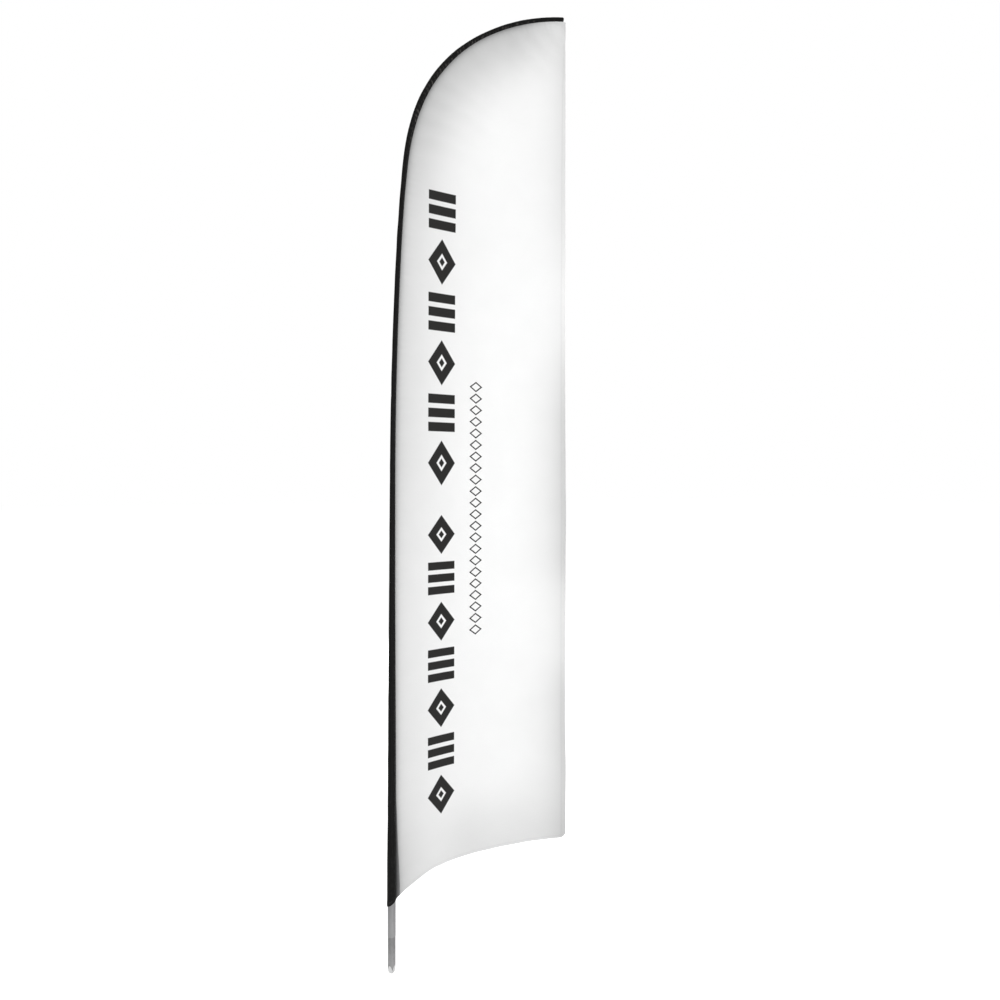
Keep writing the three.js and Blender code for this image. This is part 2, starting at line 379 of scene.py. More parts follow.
def panelCloth():
    material, tree, shader = newMaterial("panelCloth", **printed["shine"])
    uv = addNode(tree, "ShaderNodeUVMap", {"uv_map": "cutCloth"}).outputs[0]
    place = addNode(tree, "ShaderNodeTexCoord")
    split = addNode(tree, "ShaderNodeSeparateXYZ", None, Vector=place.outputs["Object"])
    x, z = split.outputs[0], split.outputs[2]
    weave = useGroup(tree, knit, Place=uv, **printed["weave"])
    lines = [(run, "bold", 1.0) for run in printed["boldRuns"]] + [(printed["fineRun"], "fine", 0.0)]
    masks = []
    for (bottom, top, count), weight, bars in lines:
        opening, dot = printed[weight + "Opening"]
        mark = useGroup(tree, marks, X=x, Z=z, Middle=printed[weight + "Middle"],
                        Half=printed[weight + "Half"], Bottom=bottom, Top=top, Count=count, Bars=bars,
                        Open=opening, Dot=dot)
        masks.append(mark.outputs["Mask"])
    inked = calc(tree, "MAXIMUM", calc(tree, "MAXIMUM", masks[0], masks[1]), masks[2])
    # the ink shows through a little paler on the back
    facing = addNode(tree, "ShaderNodeSeparateXYZ", None, Vector=place.outputs["Normal"])
    behind = ramp(tree, facing.outputs[1], -0.1, 0.1, 1.0, printed["showThrough"])
    inked = calc(tree, "MULTIPLY", inked, behind)
    # tone is the painted shade worked out for each point of the panel
    tone = addNode(tree, "ShaderNodeAttribute", {"attribute_name": "tone"})
    shade = calc(tree, "MULTIPLY", weave.outputs["Shade"], tone.outputs["Fac"])
    cloth = tint(tree, printed["cloth"], shade)
    colour = blendColours(tree, inked, cloth, tint(tree, printed["ink"], weave.outputs["Shade"]))
    tree.links.new(colour, shader.inputs["Base Color"])
    smoother = calc(tree, "MULTIPLY", inked, printed["inkSmooths"])
    rough = calc(tree, "SUBTRACT", printed["clothRoughness"], smoother)
    tree.links.new(rough, shader.inputs["Roughness"])
    bumpInto(tree, shader, weave.outputs["Height"], 0.45, 0.00012)
    return material


pocketLook = {
    "black": (0.0035, 0.0034, 0.0033, 1),
    "worn": (0.014, 0.0132, 0.0128, 1),
    # paler tops of gathers: partly rubbed wear, partly painted highlight
    "rubbedAndHighlit": (0.075, 0.07, 0.064, 1),
    "edge": (0.31, 0.31, 0.315, 1),
    "edgePales": (0.24, 0.95, 0.9),  # the edge is palest at the first height, not at all at the second; the paleness is partly the edge's own grey, partly painted light reflected from the panel
    "dust": (0.16, 0.15, 0.14, 1),
    "dustTop": 0.6,
    "dustAmount": 0.08,
    "wornScale": 95,
    "roughness": (0.5, 0.68),
    "shine": {"sheen": 0.06, "sheenRoughness": 0.3, "specular": 0.14},
    "weave": {"Pitch": 0.0014, "Rib": 0.7, "Depth": 0.35},
}


def pocketCloth():
    # tone is 1 on the sewn edge, which pales near the mouth, partly its own paler grey and partly painted
    # light reflected from the panel, and ridge is 1 on the tops of gathers
    material, tree, shader = newMaterial("pocketCloth", **pocketLook["shine"])
    uv = addNode(tree, "ShaderNodeUVMap", {"uv_map": "cutCloth"}).outputs[0]
    split = addNode(tree, "ShaderNodeSeparateXYZ", None, Vector=uv)
    place = addNode(tree, "ShaderNodeTexCoord")
    weave = useGroup(tree, knit, Place=uv, **pocketLook["weave"])
    tone = addNode(tree, "ShaderNodeAttribute", {"attribute_name": "tone"})
    palest, gone, share = pocketLook["edgePales"]
    fall = ramp(tree, split.outputs[1], palest, gone, share, 0)
    pale = calc(tree, "MULTIPLY", fall, tone.outputs["Fac"])
    worn = noiseNode(tree, place.outputs["Object"], pocketLook["wornScale"], 5, 0.7)
    black = blendColours(tree, ramp(tree, worn, 0.5, 0.75), pocketLook["black"], pocketLook["worn"])
    ridge = addNode(tree, "ShaderNodeAttribute", {"attribute_name": "ridge"})
    # the tops of gathers are paler: partly rubbed wear, partly painted highlight
    rubbedAndHighlit = calc(tree, "MULTIPLY", ridge.outputs["Fac"], ramp(tree, worn, 0.42, 0.6))
    black = blendColours(tree, rubbedAndHighlit, black, pocketLook["rubbedAndHighlit"])
    # the sewn edge's paleness: partly its own grey, partly painted light reflected from the panel
    colour = blendColours(tree, pale, black, pocketLook["edge"])
    grime = useGroup(tree, dust, Place=place.outputs["Object"], Top=pocketLook["dustTop"],
                     Amount=pocketLook["dustAmount"])
    colour = blendColours(tree, grime.outputs["Mask"], colour, pocketLook["dust"])
    tree.links.new(tint(tree, colour, weave.outputs["Shade"]), shader.inputs["Base Color"])
    smoothest, roughest = pocketLook["roughness"]
    rough = calc(tree, "ADD", ramp(tree, worn, 0.35, 0.7, smoothest, roughest), grime.outputs["Mask"])
    tree.links.new(rough, shader.inputs["Roughness"])
    bumpInto(tree, shader, weave.outputs["Height"], 0.6, 0.0003)
    return material


def thread(name, colour):
    material, tree, shader = newMaterial(name, sheen=0.2, specular=0.4)
    place = addNode(tree, "ShaderNodeTexCoord")
    fibres = noiseNode(tree, place.outputs["Object"], 1400, 2)
    tree.links.new(tint(tree, colour, ramp(tree, fibres, 0.3, 0.7, 0.8, 1.1)), shader.inputs["Base Color"])
    tree.links.new(ramp(tree, fibres, 0.3, 0.7, 0.5, 0.65), shader.inputs["Roughness"])
    bumpInto(tree, shader, fibres, 0.4, 0.0001)
    return material


def slantedFaceMask(tree, x, y, z, cut):
    # 1 on the four slanted faces: each is flat, and as wide as the round section leaves it
    slope = (cut["high"] - cut["low"]) / cut["top"] / cut["high"]
    out = calc(tree, "ADD", cut["low"] / cut["high"], calc(tree, "MULTIPLY", z, slope))
    across = calc(tree, "SUBTRACT", calc(tree, "ABSOLUTE", x), calc(tree, "ABSOLUTE", y))
    across = calc(tree, "MULTIPLY", across, math.sqrt(0.5) / cut["high"])
    filled = calc(tree, "ADD", calc(tree, "MULTIPLY", out, out), calc(tree, "MULTIPLY", across, across))
    return ramp(tree, filled, 0.97, 1.01, 1, 0)


metalLook = {
    "tube": (0.5, 0.5, 0.505, 1),
    "tubeDarkens": (0.13, 0.23, 0.86),  # full below the first height, and this share from the second
    "foot": (0.52, 0.52, 0.525, 1),
    "footDarkens": (0.03, 0.112, 0.72),
    "lines": 900.0,
    "dust": (0.2, 0.19, 0.175, 1),
    "dustTop": 0.2,
    "dustAmount": 0.3,
    "dustRoughens": 0.5,
    "rod": (0.03, 0.03, 0.032, 1),
}
# the foot's end: half its width, the foot's radius, where the slanted faces end, and how they look: a
# painted highlight, near-white and barely metallic
footCut = {"low": 0.007, "high": 0.0123, "top": 0.026, "colour": (0.86, 0.86, 0.86, 1), "metallic": 0.1}


def tubeMetal(name, colour, darkens, cut=None):
    # drawn tube, darker towards its top; cut says where its slanted faces are, which are painted near-white
    # as a highlight
    material, tree, shader = newMaterial(name, metallic=1.0)
    place = addNode(tree, "ShaderNodeTexCoord").outputs["Object"]
    x, y, z = addNode(tree, "ShaderNodeSeparateXYZ", None, Vector=place).outputs
    drawn = useGroup(tree, drawnMetal, Place=place, Lines=metalLook["lines"])
    grime = useGroup(tree, dust, Place=place, Top=metalLook["dustTop"], Amount=metalLook["dustAmount"])
    lowest, highest, darkest = darkens
    colour = tint(tree, colour, drawn.outputs["Shade"])
    colour = tint(tree, colour, ramp(tree, z, lowest, highest, 1.0, darkest))
    if cut:
        # the slanted faces get a painted highlight: near-white colour and little metal
        endHighlight = slantedFaceMask(tree, x, y, z, cut)
        colour = blendColours(tree, endHighlight, colour, cut["colour"])
        tree.links.new(ramp(tree, endHighlight, 0, 1, 1.0, cut["metallic"]), shader.inputs["Metallic"])
    colour = blendColours(tree, grime.outputs["Mask"], colour, metalLook["dust"])
    tree.links.new(colour, shader.inputs["Base Color"])
    rougher = calc(tree, "MULTIPLY", grime.outputs["Mask"], metalLook["dustRoughens"])
    rough = calc(tree, "ADD", drawn.outputs["Roughness"], rougher)
    tree.links.new(rough, shader.inputs["Roughness"])
    bumpInto(tree, shader, drawn.outputs["Height"], 0.15, 0.00005)
    return material


def rodFinish():
    material, tree, shader = newMaterial("rodFinish", specular=0.5)
    place = addNode(tree, "ShaderNodeTexCoord")
    fibres = addNode(tree, "ShaderNodeTexWave", {"bands_direction": "Z"}, Vector=place.outputs["Object"],
                     Scale=40, Distortion=1.5, Detail=2)
    shade = ramp(tree, fibres.outputs["Fac"], 0, 1, 0.7, 1.2)
    tree.links.new(tint(tree, metalLook["rod"], shade), shader.inputs["Base Color"])
    tree.links.new(ramp(tree, fibres.outputs["Fac"], 0, 1, 0.35, 0.5), shader.inputs["Roughness"])
    bumpInto(tree, shader, fibres.outputs["Fac"], 0.1, 0.0001)
    return material


finishes = {
    "lower_tube": tubeMetal("tubeMetal", metalLook["tube"], metalLook["tubeDarkens"]),
    "foot_tube": tubeMetal("footMetal", metalLook["foot"], metalLook["footDarkens"], footCut),
    "top_rod": rodFinish(),
}
for name, finish in finishes.items():
    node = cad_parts[name]
    node.data.materials.clear()
    node.data.materials.append(finish)
print("pole finished")


# the pocket is a folded strip with a sewn edge, gathered over the bend
pocket = {
    "mouth": 0.226,
    "mouthSlope": 0.66,
    "slantFades": 0.28,  # the slant of the mouth is gone by here
    "wall": 0.001,
    "roomInside": 1.012,  # the inside has flat sides, so it is drawn this much wider to clear the pole
    "halfWidths": [
        (0.226, 0.0145), (0.34, 0.0145), (0.56, 0.0117), (1.2, 0.0092), (1.6, 0.0077), (3.484, 0.006),
    ],
    # widest at the mouth, and wider again where the strip bunches round the bend
    "edgeWidths": [(0.28, 0.012), (0.4, 0.007), (0.56, 0.003), (1.2, 0.0016), (2.5, 0.0018), (2.8, 0.0062),
                   (2.98, 0.0055), (3.14, 0.0018), (3.484, 0.0016)],
    "edgeThickness": 0.0022,
    "edgeWave": 0.0002,
    "edgeWaveLength": 0.011,
    "hemDepth": 0.013,  # the turned-up hem round the mouth
    "hemStitch": 0.0105,
    "hemLift": 0.0004,
    "mouthOval": (0.0145, 0.0142),  # half its width and half its depth
    "coarseStep": 0.009,
    "fineStep": 0.004,
    "bendStart": 2.55,
    "roundPoints": 38,
    "folds": 0.0007,
    "foldsRound": 5,
    "slack": 0.00035,
    "gathers": 0.0013,
    "gatherPitch": 0.016,
    "tipRings": [(0.0012, 0.95), (0.0024, 0.8), (0.0034, 0.5), (0.0037, 0.2)],
    "edgeTone": {0: 1.0, 1: 1.0, 2: 0.5, -1: 0.5, 3: 0.1, -2: 0.1},  # by the point's number round a ring, for the sewn edge's paleness, which is partly painted light
}


def poleRadiusAt(along):
    return np.where(along <= pole["socketTop"], pole["tubeRadius"], sizeAt(pole["rodRadii"], along))


def pocketPlaces():
    # close together at the mouth's hem and round the bend
    start, bend, end = pocket["mouth"], pocket["bendStart"], pole["end"]
    hemTop = start + pocket["hemDepth"]
    low = [start, start + 0.001, start + 0.004, start + 0.009, hemTop - 0.0005, hemTop + 0.0008]
    low += list(np.arange(start + 0.018, bend, pocket["coarseStep"]))
    return np.array(low + list(np.arange(bend, end - 0.002, pocket["fineStep"])) + [end])


def pocketAngles():
    # points 0 and 1 and the two beside them are moved out later, to make the sewn edge
    body = np.linspace(26, 334, pocket["roundPoints"])
    return np.radians(np.concatenate([[-4, 4, 9, 17], body, [343, 351]]))


def edgeWave(along):
    return pocket["edgeWave"] * np.sin(math.tau * along / pocket["edgeWaveLength"])


def pocketRing(along, inside):
    angles = pocketAngles()
    facing = np.cos(angles)
    acrossInside = (poleRadiusAt(along) + pole["clearance"]) * pocket["roomInside"]
    halfWidth = sizeAt(pocket["halfWidths"], along)
    if inside:
        return (halfWidth - pocket["wall"]) * facing, acrossInside * np.sin(angles), 0 * angles
    # long loose folds where the pocket is wider than the rod
    loose = smoothStep(along, 0.33, 0.4) * (1 - 0.75 * smoothStep(along, 0.6, 1.5))
    wander = 2.2 * softNoise(along, 0.0, 5, 0.55) + 1.1 * np.sin(along * 31)
    fold = pocket["folds"] * loose * (0.5 + 0.5 * np.sin(pocket["foldsRound"] * angles + wander))
    # short gathers on the inner side of the bend
    bent = smoothStep(along, 2.55, 2.75) * (1 - 0.5 * smoothStep(along, 3.2, 3.45))
    crowd = math.tau * along / pocket["gatherPitch"] + 1.6 * softNoise(along, 0.0, 8, 0.06)
    crowd = crowd + 0.8 * np.sin(angles)
    ridge = (0.12 + 0.88 * bent) * (0.5 + 0.5 * np.sin(crowd)) * np.clip(0.55 + 0.45 * facing, 0, 1)
    gather = pocket["gathers"] * ridge
    slack = pocket["slack"] * (0.5 + 0.5 * softNoise(along, angles * 0.02, 12, 0.09))
    hemTop = pocket["mouth"] + pocket["hemDepth"]
    hem = pocket["hemLift"] * (1 - smoothStep(along, hemTop - 0.0005, hemTop + 0.0008))
    grow = fold + gather + slack + hem
    towards = (halfWidth + grow) * facing
    across = (acrossInside + pocket["wall"] + grow) * np.sin(angles)
    # the sewn edge: two layers, pressed together along the stitches
    edge = halfWidth + sizeAt(pocket["edgeWidths"], along)
    half = pocket["edgeThickness"] / 2 + hem * 0.5
    middle = (halfWidth + edge) / 2
    edgePoints = ((0, edge, -half), (1, edge, half), (2, middle, half * 0.8), (-1, middle, -half * 0.8))
    for index, out, up in edgePoints:
        towards[index], across[index] = out, up + edgeWave(along)
    return towards, across, smoothStep(ridge, 0.35, 0.85)


def placePocketRing(along, towards, across):
    x, z = besidePole(along, towards)
    slant = 1 - smoothStep(along, pocket["mouth"], pocket["slantFades"])
    return np.stack([x, across, z + pocket["mouthSlope"] * x * slant], 1)


def girthBefore(towards, across):
    steps = np.hypot(np.diff(towards, append=towards[0]), np.diff(across, append=across[0]))
    return np.concatenate([[0], np.cumsum(steps)[:-1]])


def makePocket():
    places = pocketPlaces()
    rings, uv, ridges = [], [], []

    def addRing(along, towards, across, ridge):
        rings.append(placePocketRing(along, towards, across))
        uv.append(np.stack([girthBefore(towards, across), np.full(len(towards), along)], 1))
        ridges.append(ridge)

    inner = places[places < pole["cavityEnd"]]
    addRing(pole["cavityEnd"], *pocketRing(pole["cavityEnd"], True))
    for along in inner[::-1]:
        addRing(along, *pocketRing(along, True))
    for along in places:
        addRing(along, *pocketRing(along, False))
    for beyond, shrink in pocket["tipRings"]:
        towards, across, ridge = pocketRing(pole["end"], False)
        addRing(pole["end"] + beyond, towards * shrink, across * shrink, ridge)
    sides = len(rings[0])
    count = len(rings)
    points = np.concatenate(rings + [rings[0].mean(0)[None], rings[-1].mean(0)[None]])
    uv = np.concatenate(uv + [[[0, pole["cavityEnd"]], [0, pole["end"]]]])
    faces = []
    outerStart = len(inner) + 1
    tone = np.zeros((count, sides))
    for number, value in pocket["edgeTone"].items():
        tone[outerStart:, number] = value
    tone = np.concatenate([tone.ravel(), [0, 0]])
    for ring in range(count - 1):
        for side in range(sides):
            a, b = ring * sides + side, ring * sides + (side + 1) % sides
            faces.append((a, b, b + sides, a + sides))
    last = (count - 1) * sides
    for side in range(sides):
        following = (side + 1) % sides
        faces.append((following, side, count * sides))
        faces.append((last + side, last + following, count * sides + 1))
    ridge = np.concatenate(ridges + [[0, 0]])
    return makeMesh("pocketStrip", points, faces, pocketCloth(), uv, tone=tone, ridge=ridge)


pocketStrip = makePocket()
print("pocket made")


# the panel is one cut of knitted cloth with its hems
panel = {
    "thickness": 0.0008,
    "freeEdge": 0.616,
    "hemLeft": 0.2435,
    "hemCurve": [(0, 0.2435), (0.155, 0.332), (0.3, 0.253), (0.59, 0.332)],
    "topRight": 3.184,
    "corner": 0.018,
    "tuckedIn": 0.0012,  # how far the cloth goes between the pocket's two sewn edges
    "belly": 0.078,
    "bellyFade": 0.22,  # how much of it is gone at the top
    "bellySkew": 1.35,  # above 1 it is deepest nearer the free edge
    "topTension": 6,  # the higher, the nearer to the top the belly stays full
    "flutter": 0.015,  # the slow wave along the free edge
    "flutterFade": 0.7,
    "flutterLength": 1.12,
    "flutterPeak": 0.45,
    "flutterFrom": 0.55,  # it starts this far across
    "flutterPull": 0.36,
    "sideHem": 0.0135,
    "bottomHem": 0.010,
    "hemFold": 0.0005,
    "foldSoftness": (0.0007, 0.0006),  # of the side hem's inner edge, and of the bottom hem's
    "sideStitch": 0.0115,
    "bottomStitch": 0.0083,
    "stitchDepth": 0.00016,
    "stitchSpread": 0.0011,
    "meanWidth": 0.58,
    "columns": 68,
    "rows": 620,
    # the mesh is finer across the hems and beside the seam: distances in from each
    "sideColumns": [
        0, 0.0006, 0.002, 0.006, 0.0095, 0.0107, 0.0115, 0.0123, 0.0129, 0.0135, 0.0142, 0.0165, 0.022,
    ],
    "seamColumns": [0.0015, 0.003, 0.005, 0.0075, 0.0105, 0.014, 0.018],
    "hemRows": [
        0, 0.0006, 0.002, 0.005, 0.007, 0.0077, 0.0083, 0.0089, 0.0094, 0.01, 0.0106, 0.0125,
    ],
    "plainRows": 0.017,  # even rows start here
}

# the panel's smaller folds: how deep each is, how long, and how far it reaches
folds = {
    "pucker": 0.0012,
    "puckerLength": 0.024,
    "puckerReach": 0.016,
    "pull": 0.0009,
    "bendPull": 0.0014,
    "mouthPull": 0.0022,
    "mouthReach": 0.22,
    "pullReach": 0.11,
    "uneven": 0.0017,
    "ripple": 0.0016,
    "hemReach": 0.035,
    "edgeReach": 0.05,
    "crease": 0.0022,
    "creaseHeight": 1.79,
    "creaseRise": 0.25,
    "creaseWidth": 0.011,
    "creaseReach": 0.05,
}


def bezierTable(points):
    t = np.linspace(0, 1, 400)
    (x0, z0), (x1, z1), (x2, z2), (x3, z3) = points
    weights = ((1 - t) ** 3, 3 * t * (1 - t) ** 2, 3 * t * t * (1 - t), t ** 3)
    x = sum(w * value for w, value in zip(weights, (x0, x1, x2, x3)))
    z = sum(w * value for w, value in zip(weights, (z0, z1, z2, z3)))
    return x / x3, z


hemShares, hemHeights = bezierTable(panel["hemCurve"])


def panelSide(along):
    outward = sizeAt(pocket["halfWidths"], along) + sizeAt(pocket["edgeWidths"], along) + pole["clearance"]
    return besidePole(along, outward)


topLeft = float(panelSide(pole["end"])[1])
sideSteps = np.linspace(panel["hemLeft"], pole["end"], 800)
sideX, sideZ = panelSide(sideSteps)
# the side leans back a little where the pocket narrows; this one never does, so it can be looked up
risingX = np.minimum.accumulate(sideX[::-1])[::-1]


def seamPlace(x, z):
    # how far the cloth here is from the sewn side, and how far along the pole the nearest stitch is
    beside = np.clip(x - np.interp(z, sideZ, sideX), 0.0002, None)
    below = np.clip(np.interp(x, risingX, sideZ) - z, 0.0002, None)
    level = np.interp(z, sideZ, sideSteps)
    above = np.interp(x, risingX, sideSteps)
    nearest = level + (above - level) * beside ** 2 / (beside ** 2 + below ** 2)
    return beside * below / np.hypot(beside, below), nearest


def clothSurface(share, along):
    leftX, leftZ = panelSide(along)
    rise = (leftZ - panel["hemLeft"]) / (topLeft - panel["hemLeft"])
    x = leftX + (panel["freeEdge"] - leftX) * share
    intoCorner = np.clip(x - (panel["freeEdge"] - panel["corner"]), 0, panel["corner"])
    lift = panel["corner"] - np.sqrt(panel["corner"] ** 2 - intoCorner ** 2)
    hem = np.interp(share, hemShares, hemHeights) + lift * np.clip(1 - rise * 60, 0, 1)
    top = topLeft + (panel["topRight"] - topLeft) * share
    z = hem + (top - hem) * rise
    held = 1 - np.clip(rise, 0, 1) ** panel["topTension"]
    skew = panel["bellySkew"]
    deepest = skew / (skew + 1)
    across = np.clip(share, 0, 1) ** skew * (1 - share) / (deepest ** skew * (1 - deepest))
    y = panel["belly"] * (1 - panel["bellyFade"] * rise) * held * across
    slack = np.clip((share - panel["flutterFrom"]) / (1 - panel["flutterFrom"]), 0, None) ** 2
    wave = np.cos(math.tau * (z - panel["flutterPeak"]) / panel["flutterLength"])
    flutter = -panel["flutter"] * (1 - panel["flutterFade"] * rise) * held * slack * wave
    x = x + panel["flutterPull"] * flutter
    y = y + flutter
    # pulls from the sewn side, soft unevenness, and lightly rippling hems
    fromSeam, stitch = seamPlace(x, z)
    fromEdge = np.clip(panel["freeEdge"] - x, 0, None)
    fromHem = np.clip(z - hem, 0, None)
    leaving = smoothStep(fromSeam, 0, 0.02)
    pucker = np.sin(math.tau * stitch / folds["puckerLength"] + softNoise(stitch, 0.0, 21, 0.07))
    pucker = folds["pucker"] * smoothStep(fromSeam, 0, 0.007) * pucker
    pucker = pucker * np.exp(-fromSeam / folds["puckerReach"])
    nearMouth = np.exp(-((stitch - pocket["mouth"]) / folds["mouthReach"]) ** 2)
    pull = folds["pull"] + folds["bendPull"] * smoothStep(stitch, 2.5, 2.8) + folds["mouthPull"] * nearMouth
    pulls = softNoise(stitch - 0.45 * fromSeam, fromSeam * 0.25, 22, 0.11)
    pulls = pull * np.exp(-fromSeam / folds["pullReach"]) * leaving * pulls
    uneven = folds["uneven"] * softNoise(x, z * 0.32, 23, 0.36) * leaving * held
    hemRipple = np.exp(-fromHem / folds["hemReach"]) * softNoise(x, 0.0, 24, 0.1) * leaving
    edgeRipple = np.exp(-fromEdge / folds["edgeReach"]) * softNoise(z, 0.0, 25, 0.24) * held
    ripples = folds["ripple"] * (hemRipple + edgeRipple)
    fromCrease = z - folds["creaseHeight"] - folds["creaseRise"] * fromSeam
    crease = folds["crease"] * np.exp(-(fromCrease / folds["creaseWidth"]) ** 2)
    crease = crease * np.exp(-fromSeam / folds["creaseReach"]) * leaving
    return x, y + pucker + pulls + uneven + ripples + crease, z


# painted shade on the panel's cloth: how dark each part makes it, and how far it reaches
paintedShade = {
    "seam": 0.25,  # along the straight pole side
    "highSeam": 0.09,  # added to it further up
    "bend": 0.4,  # under the bend
    "fold": 0.36,  # in the narrow fold beside the pocket
    "tipFold": 0.12,
    "lowSeam": 0.12,  # added near the mouth
    "seamReach": 0.138,
    "lowReach": 0.08,
    "bendReach": 0.122,
    "foldReach": 0.0085,
    "edge": 0.2,
    "highEdge": 0.05,
    "edgeReach": 0.045,
    "hem": 0.17,
    "hemReach": 0.3,
    # painted shadows of the curled free edge: how much, then the heights where each starts, is full, fades
    # and ends
    "patches": [
        (0.16, 1.12, 1.36, 1.75, 2.3),
        (0.14, 0.4, 0.64, 0.8, 1.0),
        (0.16, 2.1, 2.7, 3.0, 3.16),
    ],
    "patchReach": 0.07,
    "stitchLine": 0.06,
    "stitchSpread": 0.0012,
    "foldLine": 0.04,
    "foldSpread": 0.0008,
    "darkest": 0.3,
}


def hemLines(share, along, depth, spread, kind):
    # a fine line along both hems, at their stitches or at their inner edges
    side = np.exp(-(((1 - share) * panel["meanWidth"] - panel["side" + kind]) / spread) ** 2)
    bottom = np.exp(-((along - panel["hemLeft"] - panel["bottom" + kind]) / spread) ** 2)
    return depth * np.maximum(side, bottom)


def paintedClothShade(share, along, x, z):
    # painted shade greys the cloth a little near its seam, under the bend, in the fold beside the pocket,
    # along the free edge and bottom hem, in shadows of the curled edge, and in fine lines at the hem
    # stitches and hem edges
    fromSeam, _ = seamPlace(x, z)
    high = smoothStep(z, 2.3, 2.85)
    straight = paintedShade["seam"] + paintedShade["highSeam"] * smoothStep(z, 1.1, 1.8)
    straight = straight * np.exp(-fromSeam / paintedShade["seamReach"]) * (1 - high)
    low = 1 - smoothStep(z, 0.3, 0.6)
    straight = straight + paintedShade["lowSeam"] * np.exp(-fromSeam / paintedShade["lowReach"]) * low
    atTip = smoothStep(x, 0.42, 0.6) * high
    bend = paintedShade["bend"] * (1 - 0.42 * atTip) * np.exp(-(fromSeam / paintedShade["bendReach"]) ** 2) * high
    fold = paintedShade["fold"] * (1 - 0.6 * low) + (paintedShade["tipFold"] - paintedShade["fold"]) * atTip
    fold = fold * np.exp(-fromSeam / paintedShade["foldReach"])
    edge = paintedShade["edge"] + (paintedShade["highEdge"] - paintedShade["edge"]) * smoothStep(z, 1.6, 2.3)
    edge = edge * np.exp(-(1 - share) * panel["meanWidth"] / paintedShade["edgeReach"])
    fromHem = z - np.interp(share, hemShares, hemHeights)
    hem = paintedShade["hem"] * (1 - smoothStep(fromHem, 0, paintedShade["hemReach"])) * smoothStep(share, 0.1, 0.5)
    edgeShadows = sum(amount * smoothStep(z, start, full) * (1 - smoothStep(z, fading, gone))
                  for amount, start, full, fading, gone in paintedShade["patches"])
    edgeShadows = edgeShadows * np.exp(-(1 - share) * panel["meanWidth"] / paintedShade["patchReach"])
    lines = hemLines(share, along, paintedShade["stitchLine"], paintedShade["stitchSpread"], "Stitch")
    lines = lines + hemLines(share, along, paintedShade["foldLine"], paintedShade["foldSpread"], "Hem")
    return np.clip(1 - straight - bend - fold - edge - hem - edgeShadows - lines, paintedShade["darkest"], 1)


def makePanel():
    width = panel["meanWidth"]
    edges = np.array(panel["sideColumns"])
    inner = np.linspace(0, 1 - edges[-1] / width, panel["columns"] - len(edges) + 1)
    starts = np.array(panel["seamColumns"]) / width
    shares = np.sort(np.concatenate([[-panel["tuckedIn"] / width], inner, starts, 1 - edges[:-1] / width]))
    low = np.array(panel["hemRows"])
    plain = np.linspace(panel["hemLeft"] + panel["plainRows"], pole["end"], panel["rows"] - len(low))
    share, along = np.meshgrid(shares, np.concatenate([panel["hemLeft"] + low, plain]))
    x, y, z = clothSurface(share, along)
    middle = np.stack([x, y, z], 2)
    dAcross = np.gradient(middle, axis=1)
    dUp = np.gradient(middle, axis=0)
    normal = np.cross(dUp, dAcross)
    normal /= np.linalg.norm(normal, axis=2, keepdims=True)
    normal *= np.where(normal[:, :, 1:2] > 0, 1, -1)  # towards the back
    fromEdge = (1 - share) * width
    fromHem = along - panel["hemLeft"]
    sideSoft, bottomSoft = panel["foldSoftness"]
    pastSide = smoothStep(fromEdge, panel["sideHem"] - sideSoft, panel["sideHem"] + sideSoft)
    pastBottom = smoothStep(fromHem, panel["bottomHem"] - bottomSoft, panel["bottomHem"] + bottomSoft)
    hems = 1 - np.minimum(pastSide, pastBottom)
    pressed = hemLines(share, along, panel["stitchDepth"], panel["stitchSpread"], "Stitch")
    half = panel["thickness"] / 2
    front = middle - normal * (half - pressed)[:, :, None]
    back = middle + normal * (half + panel["hemFold"] * hems - pressed)[:, :, None]
    rows, columns = share.shape
    size = rows * columns
    points = np.concatenate([front.reshape(-1, 3), back.reshape(-1, 3)])
    uv = np.tile(np.stack([x.ravel(), z.ravel()], 1), (2, 1))
    # painted shade, one number a point
    tone = np.tile(paintedClothShade(share, along, x, z).ravel(), 2)
    index = np.arange(size).reshape(rows, columns)
    a, b, c, d = (index[:-1, :-1], index[:-1, 1:], index[1:, 1:], index[1:, :-1])
    frontFaces = np.stack([a, b, c, d], 2).reshape(-1, 4)
    backFaces = np.stack([d, c, b, a], 2).reshape(-1, 4) + size
    rim = np.concatenate([index[0, :], index[1:, -1], index[-1, -2::-1], index[-2:0:-1, 0]])
    following = np.roll(rim, -1)
    rimFaces = np.stack([following, rim, rim + size, following + size], 1)
    faces = np.concatenate([frontFaces, backFaces, rimFaces]).tolist()
    return makeMesh("clothPanel", points, faces, panelCloth(), uv, tone=tone)


clothPanel = makePanel()
print("panel made")


stitching = {
    "pitch": 0.003,
    "length": 0.0023,
    "radius": 0.0002,
    "sides": 5,
    "lift": 0.00005,  # from the pocket's cloth out to the middle of the thread
    "white": (0.78, 0.78, 0.77, 1),
    "grey": (0.06, 0.06, 0.062, 1),
}


